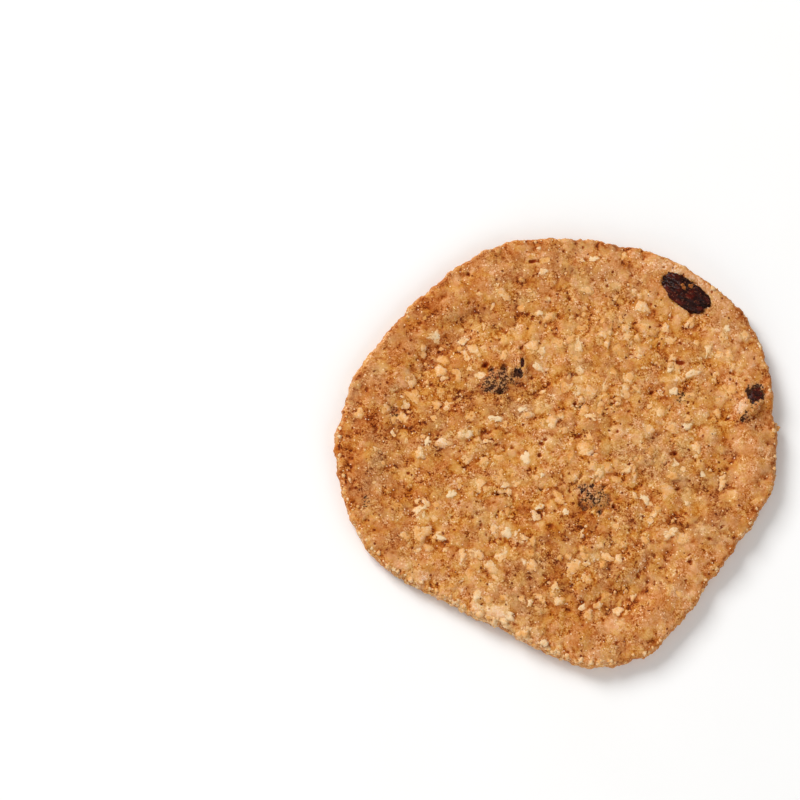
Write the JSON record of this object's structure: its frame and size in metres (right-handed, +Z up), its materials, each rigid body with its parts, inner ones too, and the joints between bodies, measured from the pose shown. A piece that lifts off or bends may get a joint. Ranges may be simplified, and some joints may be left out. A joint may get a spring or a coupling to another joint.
{
  "type": "oatmeal raisin cookie",
  "caption": "Thin crisp oatmeal raisin cookie with an uneven rounded outline, a rippled oat-lumped top, raisins set in it and a flat underside.",
  "frame": {"origin": "under the middle of the cookie's bounding box, on the flat underside", "axes": "+Z up out of the baked top, through the thickness; +X along the longest side of the outline's box, +Y across it"},
  "size_m": [0.0936, 0.0922, 0.0067],
  "materials": {
    "baked_dough": "matt, crumbly, golden brown with paler oats",
    "raisin_skin": "wrinkled, dark brown, half gloss",
    "oat_flake": "matt, toasted cream"
  },
  "bodies": {
    "root": {"cookie": "baked_dough", "raisin_rim": "raisin_skin", "raisin_edge": "raisin_skin", "raisin_left": "raisin_skin", "raisin_sliver": "raisin_skin", "raisin_low": "raisin_skin"}
  },
  "joints": []
}
